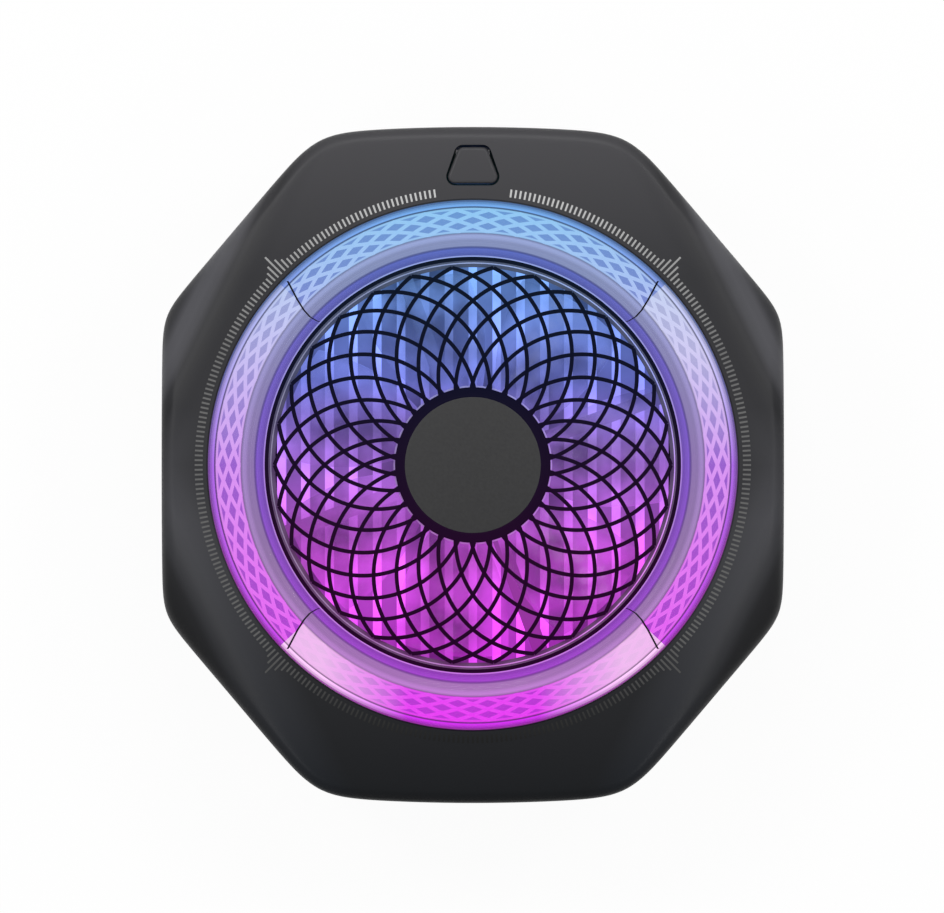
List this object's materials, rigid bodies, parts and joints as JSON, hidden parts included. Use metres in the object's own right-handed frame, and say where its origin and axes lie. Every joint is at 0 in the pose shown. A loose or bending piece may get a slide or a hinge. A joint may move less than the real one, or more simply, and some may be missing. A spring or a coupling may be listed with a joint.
{
  "type": "phone cooling fan",
  "caption": "Clip-on magnetic cooling fan for a phone: octagonal black housing, woven round grille, clear light ring, mode button and a cold plate on the back.",
  "frame": {"origin": "centre of the cold face that touches the phone", "axes": "+Z out of the front of the fan along its axis, +Y towards the mode button, +X to the right seen from the front"},
  "size_m": [0.066, 0.0716, 0.0264],
  "materials": {
    "housing_black": "fine satin, soft-touch black",
    "grille_black": "gloss black",
    "cap_grey": "satin dark grey",
    "clear_ring": "polished clear",
    "light_guide": "frosted light guide, lit blue to magenta",
    "fan_clear": "translucent, lit by the ring",
    "frame_black": "satin black",
    "aluminium": "milled, satin",
    "steel": "plated",
    "core_steel": "laminated, dull",
    "switch_metal": "stamped",
    "magnet": "nickel plated",
    "bronze": "sintered",
    "copper": "enamelled wire",
    "pellet": "dull",
    "ceramic": "matt white ceramic",
    "foam": "closed cell foam",
    "soft_black": "matt silicone",
    "pad_grey": "matt soft pad",
    "circuit_board": "solder mask",
    "chip_black": "matt",
    "lamp": "clear domed lamp"
  },
  "bodies": {
    "housing": {"bearing_sleeve": "bronze", "board_screws": "steel", "button_board": "circuit_board", "case_screws": "steel", "cold_plate": "aluminium", "contact_ring": "soft_black", "control_chips": "chip_black", "cooler_cold_ceramic": "ceramic", "cooler_hot_ceramic": "ceramic", "cooler_pellets": "pellet", "fan_board": "circuit_board", "fan_frame": "frame_black", "frame_screws": "steel", "front_shell": "housing_black", "grille": "grille_black", "heatsink": "aluminium", "heatsink_screws": "steel", "hub_cap": "cap_grey", "insulation_frame": "foam", "lattice_diffuser": "light_guide", "led_board": "circuit_board", "leds": "lamp", "magnet_ring": "magnet", "main_board": "circuit_board", "rear_shell": "housing_black", "ring_segment_bottom": "clear_ring", "ring_segment_left": "clear_ring", "ring_segment_right": "clear_ring", "ring_segment_top": "clear_ring", "stator_coils": "copper", "stator_core": "core_steel", "tact_switch": "switch_metal", "thermal_pad": "pad_grey", "usb_receptacle": "steel", "usb_tongue": "chip_black"},
    "rotor": {"impeller": "fan_clear", "rotor_magnet": "magnet", "rotor_yoke": "steel", "shaft": "steel"},
    "button": {"mode_button": "housing_black", "switch_plunger": "chip_black"}
  },
  "joints": [
    {"name": "fan_spin", "type": "hinge", "parent": "housing", "child": "rotor", "pos_m": [0, 0, 0.0186], "axis": [0, 0, 1], "continuous": true},
    {"name": "button_press", "type": "slide", "parent": "housing", "child": "button", "axis": [0, 0, -1], "range_m": [0, 0.00035], "stiffness_N_per_m": 400, "springref_m": -0.0005}
  ]
}
